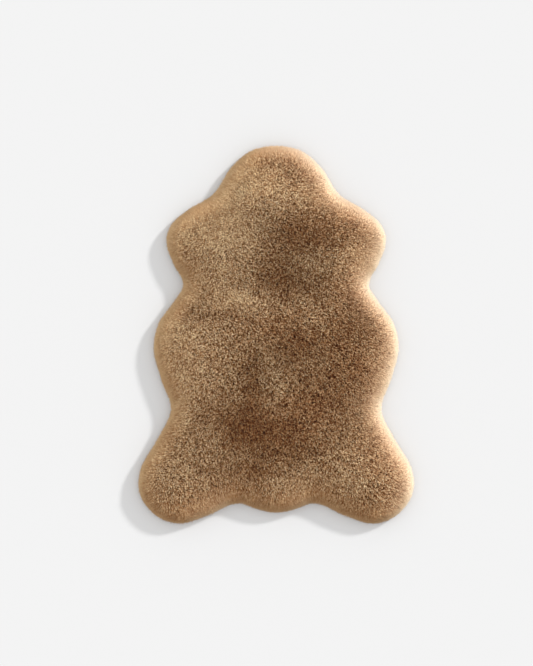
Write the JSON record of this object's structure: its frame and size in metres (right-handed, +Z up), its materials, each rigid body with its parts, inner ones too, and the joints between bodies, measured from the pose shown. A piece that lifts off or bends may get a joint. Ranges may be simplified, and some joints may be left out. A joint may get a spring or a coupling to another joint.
{
  "type": "faux fur rug",
  "caption": "Pelt-shaped faux-fur rug with a deep two-tone pile, a thin foam pad and a suede backing, lying flat with the pile up.",
  "frame": {"origin": "centre of the rug's bounding box, on the floor", "axes": "+Z up, out of the pile; +Y towards the head end; +X to the right seen from above with the head away"},
  "size_m": [0.6561, 0.8995, 0.038],
  "materials": {
    "guard_hair": "long acrylic guard hair, dark brown at the root and tan to cream at the curled tip",
    "underfur": "short dense dark brown fibres",
    "knit_ground": "weft-knitted polyester ground, matte",
    "latex": "thin rolled-on film, satin",
    "foam": "open-cell foam sheet, matte",
    "suede": "brushed microsuede, matte",
    "thread": "spun polyester sewing thread",
    "label": "blank woven satin tape"
  },
  "bodies": {
    "root": {"guard_hair": "guard_hair", "underfur": "underfur", "fur_ground": "knit_ground", "latex_backcoat": "latex", "foam_pad": "foam", "suede_backing": "suede", "seam_needle_thread": "thread", "seam_bobbin_thread": "thread", "gap_closing_thread": "thread", "care_label": "label"}
  },
  "joints": []
}
